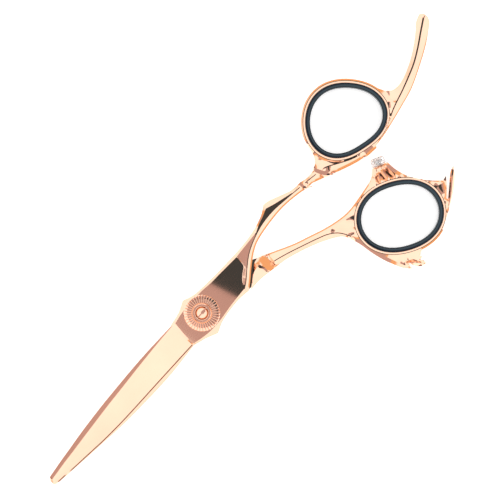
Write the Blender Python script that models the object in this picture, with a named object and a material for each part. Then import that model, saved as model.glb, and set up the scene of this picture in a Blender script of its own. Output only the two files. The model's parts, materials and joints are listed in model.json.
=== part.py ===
"""Hair cutting shears, 5.5 inch: two forged halves on a bolt, a dial with its thrust bearing,
rubber ring inserts and a silicone bumper. Metres, +Z up. The origin is on the pivot axis at the
back face of the bolt's head, +X runs along the closed blades to the tips, +Y to the thumb side."""

import math

import bmesh
import bpy
import numpy as np
from mathutils import Matrix, Vector

MM = 0.001

# Levels along the pivot axis, in millimetres
HEAD_BACK, HEAD_FRONT = 0.0, 0.42
THUMB_BACK, THUMB_INNER = 0.5, 3.34
FINGER_INNER, FINGER_FRONT = 3.46, 6.3
JOIN = (THUMB_INNER + FINGER_INNER) / 2
RING_MID, RING_HALF = 2.9, 2.1
BEARING_FLOOR = 4.75
DIAL_BACK, DIAL_FRONT, DIAL_HUB, BOLT_TOP = 6.4, 7.9, 8.25, 8.1

# Pivot radii
BOLT_R, HEAD_R, NECK_HALF = 1.75, 3.9, 1.8
BUSH_IN, BUSH_OUT, BORE_R = 1.85, 2.35, 2.45
WASHER_R, WASHER_POCKET_R, WASHER_HALF, WASHER_PLAY = 3.3, 3.4, 0.2, 0.06
BEARING_R, BEARING_IN, BEARING_POCKET_R = 3.6, 2.55, 3.75
BALL_R, BALL_PITCH_R, BALLS = 0.45, 3.06, 8
DIAL_R, DIAL_POCKET_R, DIAL_POCKET_TOP, DIAL_RIDGES = 5.05, 3.9, 7.3, 24

# Blades: the spine, the cutting edge and the inner line of the bevel, as Y over X
BLADE_START, TIP_CORNER_X, TIP_X = 8.5, 61.6, 62.4
BLADE_STATIONS = 21
SPINE = (
    (8.5, 3.95), (20, 3.79), (35, 3.6), (44, 3.15), (52, 2.35), (58.5, 1.62), (61.6, 1.28), (62.4, 0.8),
)
FINGER_EDGE = (
    (8.5, 3.95), (20, 4.21), (35, 3.83), (44, 3.28), (52, 2.5), (59, 1.75), (61.6, 1.4), (62.4, 0.8),
)
THUMB_EDGE = ((8.5, 4.3), (20, 4.85), (35, 4.35), (45, 3.35), (55, 2.2), (61.6, 1.3), (62.4, 0.8))
SPINE_THICK = ((8.5, 2.55), (40, 2.1), (62.4, 1.2))
EDGE_THICK = ((8.5, 1.25), (40, 1.0), (62.4, 0.7))
BEVEL_LAND = 0.12

# Rings: centre, mean radius of the insert's lip, then its oval and egg harmonics with their angles
FINGER_RING = {"centre": (-65.9, -5.95), "r": 10.77, "oval": (0.82, 157.5), "egg": (0.45, 20.7)}
THUMB_RING = {"centre": (-56.1, 23.1), "r": 10.95, "oval": (1.25, 148.0), "egg": (0.0, 0.0)}
RING_STEPS = 48

# Bumper: the middle of the boss's flat face and its outward direction
BUMPER_AT = (-62.85, 9.68)
BUMPER_OUT = (-0.41, -0.912)
CAP_R, CAP_LENGTH, STUD_R, STUD_HEAD_R = 2.0, 2.3, 0.7, 1.2


def clear_scene():
    for item in list(bpy.data.objects):
        bpy.data.objects.remove(item, do_unlink=True)


def material(name, colour, roughness, metallic):
    made = bpy.data.materials.new(name)
    made.use_nodes = True
    shader = made.node_tree.nodes["Principled BSDF"]
    shader.inputs["Base Color"].default_value = (*colour, 1.0)
    shader.inputs["Roughness"].default_value = roughness
    shader.inputs["Metallic"].default_value = metallic
    made.diffuse_color = (*colour, 1.0)
    return made


def along(points, x):
    """Smooth value at x through (x, value) points: cubic with slopes that never overshoot."""
    xs = [p[0] for p in points]
    ys = [p[1] for p in points]
    if x <= xs[0]:
        return ys[0]
    if x >= xs[-1]:
        return ys[-1]
    gaps = [xs[i + 1] - xs[i] for i in range(len(xs) - 1)]
    rises = [(ys[i + 1] - ys[i]) / gaps[i] for i in range(len(gaps))]
    slopes = [rises[0]]
    for i in range(1, len(rises)):
        same_way = rises[i - 1] * rises[i] > 0
        slopes.append(2 * rises[i - 1] * rises[i] / (rises[i - 1] + rises[i]) if same_way else 0.0)
    slopes.append(rises[-1])
    i = max(k for k in range(len(gaps)) if x >= xs[k])
    t = (x - xs[i]) / gaps[i]
    return (
        ys[i] * (1 + 2 * t) * (1 - t) ** 2
        + slopes[i] * gaps[i] * t * (1 - t) ** 2
        + ys[i + 1] * t * t * (3 - 2 * t)
        + slopes[i + 1] * gaps[i] * t * t * (t - 1)
    )


def new_object(name, verts, faces, finish=None, smooth_angle=35.0):
    """Mesh object from millimetre points, with its faces turned outwards."""
    mesh = bpy.data.meshes.new(name)
    mesh.from_pydata([Vector(v) * MM for v in verts], [], faces)
    work = bmesh.new()
    work.from_mesh(mesh)
    bmesh.ops.recalc_face_normals(work, faces=work.faces)
    if work.calc_volume(signed=True) < 0:
        bmesh.ops.reverse_faces(work, faces=work.faces)
    work.to_mesh(mesh)
    work.free()
    mesh.shade_smooth()
    mesh.set_sharp_from_angle(angle=math.radians(smooth_angle))
    made = bpy.data.objects.new(name, mesh)
    bpy.context.scene.collection.objects.link(made)
    if finish:
        mesh.materials.append(finish)
    return made


def loft(name, sections, finish=None):
    """Closed body through sections with the same number of points, capped at both ends."""
    count = len(sections[0])
    verts = [p for section in sections for p in section]
    faces = [
        (k * count + i, k * count + (i + 1) % count, (k + 1) * count + (i + 1) % count, (k + 1) * count + i)
        for k in range(len(sections) - 1)
        for i in range(count)
    ]
    faces.append(tuple(range(count)))
    faces.append(tuple(range((len(sections) - 1) * count, len(sections) * count)))
    return new_object(name, verts, faces, finish)


def spun(name, profile, steps, place=None, finish=None):
    """Closed ring or solid turned about Z from (radius, z) points; place maps the points."""
    work = bmesh.new()
    verts = []
    for k in range(steps):
        turn = 2 * math.pi * k / steps
        verts.append([(r * math.cos(turn), r * math.sin(turn), z) for r, z in profile])
    for row in verts:
        for i, point in enumerate(row):
            row[i] = work.verts.new(place(point) if place else point)
    count = len(profile)
    for k in range(steps):
        for i in range(count):
            corners = (verts[k][i], verts[k][(i + 1) % count],
                       verts[(k + 1) % steps][(i + 1) % count], verts[(k + 1) % steps][i])
            work.faces.new(corners)
    bmesh.ops.remove_doubles(work, verts=work.verts, dist=1e-5)
    bmesh.ops.dissolve_degenerate(work, edges=work.edges, dist=1e-6)
    points = [tuple(v.co) for v in work.verts]
    work.verts.index_update()
    faces = [tuple(v.index for v in f.verts) for f in work.faces]
    work.free()
    return new_object(name, points, faces, finish)


def slab(name, outline, low, high, bevel=0.6, finish=None):
    """Plate over an outline from low to high, its rims drawn in by the bevel."""
    points = np.array(outline, float)
    area = 0.5 * np.sum(points[:, 0] * np.roll(points[:, 1], -1) - np.roll(points[:, 0], -1) * points[:, 1])
    if area < 0:
        points = points[::-1]
    ahead = np.roll(points, -1, 0) - points
    ahead /= np.linalg.norm(ahead, axis=1)[:, None]
    behind = np.roll(ahead, 1, 0)
    inward = np.stack([-(ahead + behind)[:, 1], (ahead + behind)[:, 0]], 1)
    inward /= np.maximum(np.linalg.norm(inward, axis=1), 0.3)[:, None]
    drawn = points + inward * bevel
    levels = ((drawn, low), (points, low + bevel), (points, high - bevel), (drawn, high))
    return loft(name, [[(x, y, z) for x, y in ring] for ring, z in levels], finish)


def helper(item):
    item.hide_render = True
    item.display_type = "WIRE"
    return item


def joined(base, others, operation):
    for other in others:
        step = base.modifiers.new(f"{operation.lower()}_{other.name}", "BOOLEAN")
        step.operation = operation
        step.solver = "EXACT"
        step.use_self = operation == "UNION"
        step.object = helper(other)


def ring_radius(ring, turn):
    degrees = math.degrees(turn)
    oval, oval_at = ring["oval"]
    egg, egg_at = ring["egg"]
    return (
        ring["r"]
        + oval * math.cos(math.radians(2 * (degrees - oval_at)))
        + egg * math.cos(math.radians(3 * (degrees - egg_at)))
    )


def ring_arc(ring, first, last, steps, out=0.3):
    """Points beside the insert's lip, from the first to the last angle in degrees."""
    points = []
    for degrees in np.linspace(first, last, steps):
        turn = math.radians(degrees)
        far = ring_radius(ring, turn) + out
        points.append((ring["centre"][0] + far * math.cos(turn), ring["centre"][1] + far * math.sin(turn)))
    return points


def ring_body(name, ring, profile, finish=None):
    """Ring that follows the lip of the insert; profile is (offset from the lip, z) points."""
    sections = []
    for k in range(RING_STEPS):
        turn = 2 * math.pi * k / RING_STEPS
        lip = ring_radius(ring, turn)
        sections.append([
            (ring["centre"][0] + (lip + out) * math.cos(turn),
             ring["centre"][1] + (lip + out) * math.sin(turn), RING_MID + up)
            for out, up in profile
        ])
    count = len(profile)
    verts = [p for section in sections for p in section]
    faces = [
        (k * count + i, k * count + (i + 1) % count,
         ((k + 1) % RING_STEPS) * count + (i + 1) % count, ((k + 1) % RING_STEPS) * count + i)
        for k in range(RING_STEPS)
        for i in range(count)
    ]
    return new_object(name, verts, faces, finish)


def metal_ring(name, ring, outer=1.15):
    """Forged ring: a rounded outside and an inner rib that the insert's groove clips over."""
    rib = (0.1, 1.0, -0.7)
    profile = (
        (outer, 0.9), (outer - 0.35, 1.75), (rib[0] + 0.15, RING_HALF), (rib[0], 1.9), (rib[0], rib[1]),
        (rib[2], rib[1]), (rib[2], -rib[1]), (rib[0], -rib[1]), (rib[0], -1.9),
        (rib[0] + 0.15, -RING_HALF), (outer - 0.35, -1.75), (outer, -0.9),
    )
    return ring_body(name, ring, profile)


def insert(name, ring, finish):
    """Rubber insert: a flange on each side of the ring's rib and a rounded bore."""
    profile = (
        (-0.02, 1.17), (-0.02, 2.45), (-0.3, 2.72), (-0.8, 2.8), (-1.2, 2.4), (-1.4, 1.2),
        (-1.4, -1.2), (-1.2, -2.4), (-0.8, -2.8), (-0.3, -2.72), (-0.02, -2.45), (-0.02, -1.17),
        (-0.82, -1.17), (-0.82, 1.17),
    )
    return ring_body(name, ring, profile, finish)


def blank(name, edge, mirrored):
    """Blade and flat pivot plate of one half. The finger half's inner face looks down and its
    edge lies at -Y; the thumb half is the same form turned over about X."""
    inner = THUMB_INNER if mirrored else FINGER_INNER
    flip = -1 if mirrored else 1
    sections = []

    def section(x, spine, cut, spine_high, edge_high, spine_side, land, edge_side):
        points = (
            (spine, 0.0), (spine, spine_high - spine_side), (spine - spine_side, spine_high),
            (-cut + edge_side, edge_high), (-cut, land), (-cut, 0.0),
        )
        sections.append([(x, y * flip, inner + z * flip) for y, z in points])

    thick = FINGER_FRONT - FINGER_INNER
    plate = (
        (-18.6, -1.5, 3.0), (-17.4, 0.6, 3.3), (-15.4, 2.5, 3.6), (-12.5, 4.7, 3.9), (-7.0, 5.1, 4.2),
        (-2.0, 5.7, 4.9), (1.1, 7.0, 6.2), (4.3, 5.5, 4.9), (6.6, 4.7, 4.25),
    )
    for x, top, bottom in plate:
        section(x, top, bottom, thick, thick, 0.7, 0.9, 0.6)
    for x in (*np.linspace(BLADE_START, TIP_CORNER_X, BLADE_STATIONS), TIP_X):
        back_high = along(SPINE_THICK, x)
        edge_high = along(EDGE_THICK, x)
        spine = along(SPINE, x)
        cut = along(edge, x)
        bevel = min(edge_high - BEVEL_LAND, 0.6 * (spine + cut))
        side = min(0.3, 0.25 * (spine + cut))
        section(x, spine, cut, back_high, edge_high, side, BEVEL_LAND, bevel)
    return loft(name, sections)


def shank(name, stations):
    """Handle bar lofted over X: each station is (x, top, crest, bottom, low z, high z)."""
    sections = []
    for x, top, crest, bottom, low, high in stations:
        mid = (low + high) / 2
        half = (high - low) / 2
        wide = top - bottom
        sections.append([
            (x, top, mid - 0.4 * half), (x, top, mid + 0.4 * half), (x, top - 0.16 * wide, high),
            (x, crest, high), (x, bottom, mid + 0.3 * half), (x, bottom, mid - 0.4 * half),
            (x, bottom + 0.2 * wide, low), (x, top - 0.2 * wide, low),
        ])
    return loft(name, sections)


def tube(name, inside, outside, low, high, steps=32, finish=None):
    profile = ((inside, low), (inside, high), (outside, high), (outside, low))
    return spun(name, profile, steps, finish=finish)


def rod(name, radius, low, high, steps=32, finish=None):
    return spun(name, ((0.0, low), (0.0, high), (radius, high), (radius, low)), steps, finish=finish)


def finger_half(finish):
    base = blank("finger_half", FINGER_EDGE, mirrored=False)
    base.data.materials.append(finish)
    bar = shank("finger_shank", (
        (-12.0, 4.6, 2.8, -3.3, 3.6, 6.2), (-15.8, 3.8, 2.1, -3.8, 3.6, 6.2),
        (-19.8, 1.05, -0.5, -3.9, 3.6, 6.0), (-23.2, -1.0, -2.3, -4.05, 3.55, 5.8),
        (-27.2, -2.1, -3.5, -4.6, 2.4, 5.5), (-31.2, -2.5, -4.1, -5.9, 1.5, 5.3),
        (-33.5, -2.65, -4.1, -7.1, 1.2, 5.2), (-37.0, -2.6, -3.7, -5.9, 1.0, 5.1),
        (-42.3, -1.85, -2.9, -3.85, 0.95, 5.0), (-46.4, -1.2, -2.4, -3.2, 0.9, 5.0),
        (-50.5, 0.6, -1.4, -3.3, 0.9, 4.95), (-53.2, 1.35, -0.8, -6.4, 0.9, 4.95),
        (-54.4, 1.8, 0.3, -3.0, 0.9, 4.95), (-55.6, 2.25, 1.2, -0.5, 0.9, 4.95),
    ))
    top = slab("finger_ring_top", [
        (-54.4, 1.5), (-57.6, 3.2), (-61.7, 4.7), (-66.2, 5.4), (-70.4, 4.95), (-75.7, 3.35), (-76.6, 2.0),
    ] + ring_arc(FINGER_RING, 140, 32, 12), 0.95, 4.85, 0.25)
    pad = slab("bumper_pad", ((-62.0, 4.3), (-62.35, 5.5), (-65.8, 5.85), (-66.1, 4.3)), 1.7, 4.1, 0.15)
    tang = loft("finger_rest", [
        [(x, up, 2.9 - 0.4 * half), (x, up, 2.9 + 0.4 * half), (x, 0.6 * up + 0.4 * down, 2.9 + half),
         (x, 0.2 * up + 0.8 * down, 2.9 + 0.8 * half), (x, down, 2.9 + 0.3 * half),
         (x, down, 2.9 - 0.3 * half), (x, 0.2 * up + 0.8 * down, 2.9 - 0.8 * half),
         (x, 0.6 * up + 0.4 * down, 2.9 - half)]
        for x, up, down, half in (
            (-74.6, 4.1, 2.9, 1.7), (-76.6, 4.0, 0.4, 1.85), (-78.2, 3.6, -2.6, 1.9),
            (-80.4, 3.05, -1.5, 1.9), (-83.0, 2.6, -1.0, 1.9), (-87.0, 1.25, -2.0, 1.85),
            (-91.0, -0.45, -3.6, 1.75),
            (-95.0, -2.2, -6.0, 1.65), (-99.0, -4.5, -8.9, 1.5), (-101.0, -5.8, -9.9, 1.2),
            (-102.3, -7.2, -9.0, 0.7),
        )
    ])
    ring = metal_ring("finger_ring", FINGER_RING)
    joined(base, (bar, ring, top, pad, tang), "UNION")
    cuts = (
        rod("finger_bore", BORE_R, 2.0, 9.0),
        rod("finger_bearing_pocket", BEARING_POCKET_R, BEARING_FLOOR, 9.0),
        rod("finger_washer_pocket", WASHER_POCKET_R, 2.0, JOIN + WASHER_HALF + WASHER_PLAY),
    )
    joined(base, cuts, "DIFFERENCE")
    return base


def thumb_half(finish):
    base = blank("thumb_half", THUMB_EDGE, mirrored=True)
    base.data.materials.append(finish)
    tail = slab("thumb_tail", (
        (-9.0, -3.9), (-9.0, 4.7), (-13.4, 5.2), (-18.4, 5.6), (-21.9, 5.4), (-23.2, 3.9),
        (-22.6, 2.0), (-20.4, 0.5), (-17.4, -1.0), (-13.5, -3.0),
    ), THUMB_BACK + 0.02, THUMB_INNER - 0.02, 0.4)
    collar = slab("thumb_collar", (
        (-13.6, 5.75), (-16.8, 5.85), (-20.2, 6.3), (-21.9, 5.9), (-23.1, 4.2), (-23.4, 2.6),
        (-21.4, 1.5), (-19.0, 2.4), (-16.6, 4.1),
    ), 1.0, 5.6, 0.5)
    bar = shank("thumb_shank", (
        (-20.4, 5.6, 4.3, 2.2, 0.7, 4.9), (-23.2, 6.9, 5.2, 2.5, 0.75, 4.9),
        (-27.0, 7.8, 6.3, 4.2, 0.8, 4.9), (-31.2, 9.25, 8.0, 6.4, 0.85, 4.9),
        (-36.4, 11.65, 10.2, 8.6, 0.9, 4.9), (-39.4, 13.5, 11.9, 9.75, 0.9, 4.9),
        (-41.4, 14.7, 12.6, 10.45, 0.9, 4.9), (-43.2, 19.0, 13.8, 10.9, 0.95, 4.85),
        (-44.4, 17.4, 13.5, 11.2, 0.95, 4.85), (-47.0, 14.1, 13.2, 11.6, 0.95, 4.85),
        (-51.0, 12.35, 12.0, 11.3, 1.0, 4.8),
    ))
    side = slab("thumb_ring_side", [
        (-42.4, 14.6), (-42.9, 18.0), (-43.3, 23.8), (-44.05, 27.6), (-44.55, 29.6), (-46.1, 33.4),
        (-47.6, 35.2), (-48.5, 33.4),
    ] + ring_arc(THUMB_RING, 48, -38, 10), 1.0, 4.8, 0.3)
    flame = slab("thumb_flame", [
        (-46.8, 30.6), (-48.3, 34.2), (-48.6, 35.3), (-49.6, 36.6), (-51.1, 37.2), (-51.4, 35.6),
        (-53.2, 34.5),
    ] + ring_arc(THUMB_RING, 73, 42, 5), 1.1, 4.7, 0.3)
    upper_fin = slab("thumb_fin_upper", [
        (-61.8, 34.1), (-67.1, 31.65), (-71.7, 29.2), (-75.0, 26.6), (-76.35, 24.8),
        (-74.7, 25.3), (-71.2, 27.85), (-68.4, 29.95), (-66.6, 31.0),
    ] + ring_arc(THUMB_RING, 136, 118, 4), 1.2, 4.6, 0.25)
    lower_fin = slab("thumb_fin_lower", [
        (-66.2, 30.7), (-68.2, 29.35), (-69.6, 28.1), (-71.2, 26.7), (-72.9, 25.2), (-71.3, 25.5),
        (-70.4, 24.8), (-69.1, 23.0), (-68.3, 20.6),
    ] + ring_arc(THUMB_RING, 190, 146, 6), 1.2, 4.6, 0.25)
    boss = slab("bumper_boss", [
        (-64.9, 10.6), (-60.8, 8.75), (-59.3, 9.9), (-57.7, 10.6), (-54.0, 11.1), (-52.6, 11.6),
    ] + ring_arc(THUMB_RING, -77, -158, 9) + [
        (-66.9, 18.4), (-66.0, 17.0), (-65.0, 14.5), (-64.75, 12.0),
    ], 0.85, 4.95, 0.3)
    ring = metal_ring("thumb_ring", THUMB_RING)
    joined(base, (tail, collar, bar, ring, side, flame, upper_fin, lower_fin, boss), "UNION")
    square = [(x * NECK_HALF, y * NECK_HALF) for x, y in ((-1, -1), (1, -1), (1, 1), (-1, 1))]
    wide = [(x * 1.04, y * 1.04) for x, y in square]
    neck = loft("neck_hole", [[(x, y, z) for x, y in wide] for z in (0.0, 6.0)])
    pocket = rod("thumb_washer_pocket", WASHER_POCKET_R, JOIN - WASHER_HALF - WASHER_PLAY, 6.0)
    stud_hole = on_bumper_axis("stud_hole", ((0.0, -2.9), (0.0, 2.0), (0.8, 2.0), (0.8, -2.9)), 16)
    joined(base, (neck, pocket, stud_hole), "DIFFERENCE")
    return base


def bumper_frame():
    """Millimetre transform whose Z axis leaves the boss's flat face at its middle."""
    out = Vector((*BUMPER_OUT, 0.0)).normalized()
    turn = out.to_track_quat("Z", "Y").to_matrix().to_4x4()
    return Matrix.Translation((*BUMPER_AT, RING_MID)) @ turn


def on_bumper_axis(name, profile, steps, finish=None):
    frame = bumper_frame()
    return spun(name, profile, steps, place=lambda p: frame @ Vector(p), finish=finish)


def pivot_bolt(finish):
    """Wide low head, square neck, round shank and a slotted end."""
    base = spun("pivot_bolt", (
        (0.0, HEAD_BACK), (HEAD_R - 0.2, HEAD_BACK), (HEAD_R, 0.18), (HEAD_R, HEAD_FRONT),
        (BOLT_R, HEAD_FRONT), (BOLT_R, BOLT_TOP - 0.15), (BOLT_R - 0.15, BOLT_TOP), (0.0, BOLT_TOP),
    ), 40, finish=finish)
    half = NECK_HALF
    neck = loft("bolt_neck", [
        [(-half, -half, z), (half, -half, z), (half, half, z), (-half, half, z)]
        for z in (HEAD_FRONT - 0.1, JOIN - WASHER_HALF - WASHER_PLAY - 0.1)
    ])
    joined(base, (neck,), "UNION")
    slot = loft("bolt_slot", [
        [(x, -0.2, BOLT_TOP - 0.6), (x, 0.2, BOLT_TOP - 0.6), (x, 0.2, 9.0), (x, -0.2, 9.0)]
        for x in (-3.0, 3.0)
    ])
    joined(base, (slot,), "DIFFERENCE")
    return base


def tension_dial(finish):
    """Round nut with radial ridges on its face and rim, and a pocket for the spring behind."""
    steps = DIAL_RIDGES * 2
    bore = BOLT_R + 0.06
    smooth = ((bore, DIAL_HUB), (bore, DIAL_POCKET_TOP), (DIAL_POCKET_R, DIAL_POCKET_TOP),
              (DIAL_POCKET_R, DIAL_BACK), (DIAL_R - 0.2, DIAL_BACK))
    ridged = ((DIAL_R, DIAL_BACK + 0.25), (DIAL_R, 7.45), (4.75, DIAL_FRONT - 0.15), (2.75, DIAL_FRONT))
    hub = ((2.6, DIAL_HUB - 0.1), (2.45, DIAL_HUB))
    rows = []
    for k in range(steps):
        turn = 2 * math.pi * k / steps
        low = 0.0 if k % 2 else 1.0
        row = list(smooth)
        row += [(r - 0.12 * low, z - 0.14 * low * (z > 7.0)) for r, z in ridged]
        row += list(hub)
        rows.append([(r * math.cos(turn), r * math.sin(turn), z) for r, z in row])
    count = len(rows[0])
    verts = [p for row in rows for p in row]
    faces = [
        (k * count + i, k * count + (i + 1) % count,
         ((k + 1) % steps) * count + (i + 1) % count, ((k + 1) % steps) * count + i)
        for k in range(steps)
        for i in range(count)
    ]
    return new_object("tension_dial", verts, faces, finish, smooth_angle=12.0)


def click_spring(finish):
    """Wave washer: three humps round a thin ring."""
    steps, inside, outside, thick, wave = 36, 2.1, 3.7, 0.15, 0.12
    rows = []
    for k in range(steps):
        turn = 2 * math.pi * k / steps
        z = 6.97 + wave * math.cos(3 * turn)
        rows.append([
            (r * math.cos(turn), r * math.sin(turn), z + up)
            for r, up in (
                (inside, -thick / 2), (inside, thick / 2), (outside, thick / 2), (outside, -thick / 2),
            )
        ])
    verts = [p for row in rows for p in row]
    faces = [
        (k * 4 + i, k * 4 + (i + 1) % 4, ((k + 1) % steps) * 4 + (i + 1) % 4, ((k + 1) % steps) * 4 + i)
        for k in range(steps)
        for i in range(4)
    ]
    return new_object("click_spring", verts, faces, finish)


def bearing(race_finish, cage_finish, ball_finish):
    """Thrust bearing under the dial: two races, a cage and its balls."""
    ball_mid = BEARING_FLOOR + 0.05 + 0.25 + 0.05 + BALL_R
    tube("bearing_race_lower", BEARING_IN, BEARING_R, 4.8, 5.05, finish=race_finish)
    tube("bearing_race_upper", BEARING_IN, BEARING_R, 6.05, 6.28, finish=race_finish)
    cage = tube("bearing_cage", BEARING_IN - 0.05, BEARING_R + 0.05, ball_mid - 0.2, ball_mid + 0.2,
                steps=48, finish=cage_finish)
    holes = []
    for k in range(BALLS):
        turn = 2 * math.pi * (k + 0.5) / BALLS
        at = Matrix.Translation((BALL_PITCH_R * math.cos(turn), BALL_PITCH_R * math.sin(turn), ball_mid))
        hole = ((0.0, -1.0), (0.0, 1.0), (0.5, 1.0), (0.5, -1.0))
        holes.append(spun(f"cage_hole_{k + 1}", hole, 12, place=lambda p, at=at: at @ Vector(p)))
        arc = [math.radians(a) for a in np.linspace(-90, 90, 7)]
        profile = [(BALL_R * math.cos(a), BALL_R * math.sin(a)) for a in arc]
        profile[0], profile[-1] = (0.0, -BALL_R), (0.0, BALL_R)
        spun(f"bearing_ball_{k + 1}", profile, 10, place=lambda p, at=at: at @ Vector(p),
             finish=ball_finish)
    joined(cage, holes, "DIFFERENCE")


def bumper(cap_finish, stud_finish):
    """Silicone cap pushed over the head of a stud that is screwed into the boss."""
    on_bumper_axis("bumper_cap", (
        (0.78, 0.1), (1.8, 0.1), (CAP_R, 0.3), (CAP_R, 1.75), (1.7, 2.15), (1.1, CAP_LENGTH),
        (0.0, CAP_LENGTH), (0.0, 1.65), (1.28, 1.65), (1.28, 0.82), (0.78, 0.82),
    ), 24, cap_finish)
    on_bumper_axis("bumper_stud", (
        (0.0, -2.7), (STUD_R, -2.7), (STUD_R, 0.9), (STUD_HEAD_R, 0.9), (STUD_HEAD_R, 1.4),
        (0.9, 1.57), (0.0, 1.57),
    ), 20, stud_finish)


def build():
    clear_scene()
    rose = material("rose_gold_steel", (0.86, 0.55, 0.42), 0.16, 1.0)
    rose_dial = material("rose_gold_dial", (0.80, 0.50, 0.39), 0.28, 1.0)
    steel = material("plain_steel", (0.70, 0.70, 0.72), 0.2, 1.0)
    rubber = material("black_rubber", (0.02, 0.03, 0.04), 0.55, 0.0)
    silicone = material("clear_silicone", (0.82, 0.84, 0.86), 0.3, 0.0)
    nylon = material("white_nylon", (0.88, 0.87, 0.83), 0.45, 0.0)
    brass = material("brass_cage", (0.80, 0.62, 0.30), 0.3, 1.0)
    finger_half(rose)
    thumb_half(rose)
    insert("finger_ring_insert", FINGER_RING, rubber)
    insert("thumb_ring_insert", THUMB_RING, rubber)
    bumper(silicone, steel)
    pivot_bolt(rose_dial)
    tension_dial(rose_dial)
    tube("blade_washer", BOLT_R + 0.1, WASHER_R, JOIN - WASHER_HALF, JOIN + WASHER_HALF, finish=nylon)
    tube("pivot_bushing", BUSH_IN, BUSH_OUT, 3.72, 6.2, finish=nylon)
    bearing(steel, brass, steel)
    tube("dial_slip_washer", BOLT_R + 0.15, 3.7, 6.36, 6.66, finish=nylon)
    click_spring(steel)


build()
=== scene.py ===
"""Looks of the hair cutting shears: finely sculpted halves, dial, inserts and bumper round the
CAD frame, in rose gold, rubber and silicone, on a plain white table under soft studio light."""

import json
import math

import bmesh
import bpy
import numpy as np
from mathutils import Matrix, Vector
from mathutils.geometry import delaunay_2d_cdt


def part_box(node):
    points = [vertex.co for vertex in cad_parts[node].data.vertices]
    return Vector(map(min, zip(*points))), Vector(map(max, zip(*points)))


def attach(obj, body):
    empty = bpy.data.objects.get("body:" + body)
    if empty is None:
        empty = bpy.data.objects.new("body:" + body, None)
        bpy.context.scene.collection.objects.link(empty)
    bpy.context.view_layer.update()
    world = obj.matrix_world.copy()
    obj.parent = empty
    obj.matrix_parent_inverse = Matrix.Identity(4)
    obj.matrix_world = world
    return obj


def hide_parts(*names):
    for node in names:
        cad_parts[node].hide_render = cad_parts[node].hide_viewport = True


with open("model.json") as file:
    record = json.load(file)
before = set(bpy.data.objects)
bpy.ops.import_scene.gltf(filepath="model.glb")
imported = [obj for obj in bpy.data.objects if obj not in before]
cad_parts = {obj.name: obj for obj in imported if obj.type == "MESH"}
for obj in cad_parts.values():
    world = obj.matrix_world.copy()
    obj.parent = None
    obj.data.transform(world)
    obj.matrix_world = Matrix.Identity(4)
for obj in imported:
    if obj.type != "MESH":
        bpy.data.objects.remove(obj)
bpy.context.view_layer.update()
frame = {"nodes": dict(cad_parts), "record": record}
MM = 0.001


def node_span(node, axis):
    """Lowest and highest value of a CAD node along an axis, in millimetres."""
    low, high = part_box(node)
    return low[axis] / MM, high[axis] / MM


# Every length below is in millimetres, unless a name or comment says otherwise.
# Levels of the two halves, as in the CAD
FINGER_TOP, FINGER_INNER = 6.3, 3.46
THUMB_INNER, THUMB_BACK = 3.34, 0.5
PLATE_MID = 4.2      # the front plate's height 0, from which its levels rise and fall
HALF_THICK = 2.05    # from the middle of a ring or shank to its face

# Levels read from the CAD nodes
INSERT_LOW, INSERT_HIGH = node_span("finger_ring_insert", 2)
RING_MID = (INSERT_LOW + INSERT_HIGH) / 2
DIAL_LOW, DIAL_HIGH = node_span("tension_dial", 2)
BOLT_TOP = node_span("pivot_bolt", 2)[1]
TIP_X = node_span("finger_half", 0)[1]

# Rings: mean radius of the insert's lip, then (size, direction in degrees) of its oval and egg shape
FINGER_RING = {"centre": (-65.9, -5.95), "r": 10.77, "oval": (0.82, 157.5), "egg": (0.45, 20.7)}
THUMB_RING = {"centre": (-56.1, 23.1), "r": 10.95, "oval": (1.25, 148.0), "egg": (0.0, 0.0)}

# The bumper's seat on the boss, and the direction that it points in
BUMPER_AT = (-62.85, 9.68)
BUMPER_OUT = (-0.41, -0.912)

# Blades: (x, value) points for the spine, both edges, the bevel's width and the spine's thickness
HEEL_X, FINE_X = 7.0, 58
SPINE = ((7.0, 3.98), (20, 3.79), (35, 3.6), (44, 3.15), (48, 2.75), (52, 2.35), (56, 1.95), (58.5, 1.62),
         (61.6, 1.28), (62.1, 1.06), (62.4, 0.8))
FINGER_EDGE = ((7.0, 3.9), (20, 4.21), (35, 3.83), (44, 3.28), (48, 2.93), (52, 2.5), (56, 2.1), (59, 1.75),
               (61.6, 1.4), (62.1, 1.12), (62.4, 0.8))
THUMB_EDGE = ((7.0, 4.2), (20, 4.85), (35, 4.35), (45, 3.35), (55, 2.2), (61.6, 1.3), (62.1, 1.06),
              (62.4, 0.78))
BEVEL_WIDE = ((7.0, 0.15), (10, 0.28), (20, 0.85), (30, 1.2), (44, 1.38), (56, 1.1), (61.6, 0.95),
              (62.4, 0.4))
SPINE_THICK = ((7.0, 2.55), (40, 2.1), (62.4, 1.15))
BEVEL_LAND, BEVEL_SLOPE, SPINE_SLOPE = 0.06, 0.87, 0.965

# Fineness of the sculpted bodies: points along their lines, and the mesh between the lines
CURVE_STEP, MESH_SPACING = 0.28, 0.32
TINY = 1e-9


# ---------------------------------------------------------------- curves and meshes

def along(points, x):
    """Smooth values at x through (x, value) points, with slopes that never overshoot."""
    xs = np.array([p[0] for p in points], float)
    ys = np.array([p[1] for p in points], float)
    gaps = np.diff(xs)
    rises = np.diff(ys) / gaps
    slopes = np.zeros(len(xs))
    slopes[0], slopes[-1] = rises[0], rises[-1]
    for i in range(1, len(rises)):
        if rises[i - 1] * rises[i] > 0:
            slopes[i] = 2 * rises[i - 1] * rises[i] / (rises[i - 1] + rises[i])
    x = np.clip(np.asarray(x, float), xs[0], xs[-1])
    i = np.clip(np.searchsorted(xs, x, "right") - 1, 0, len(gaps) - 1)
    t = (x - xs[i]) / gaps[i]
    return (ys[i] * (1 + 2 * t) * (1 - t) ** 2 + slopes[i] * gaps[i] * t * (1 - t) ** 2
            + ys[i + 1] * t * t * (3 - 2 * t) + slopes[i + 1] * gaps[i] * t * t * (t - 1))


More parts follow.
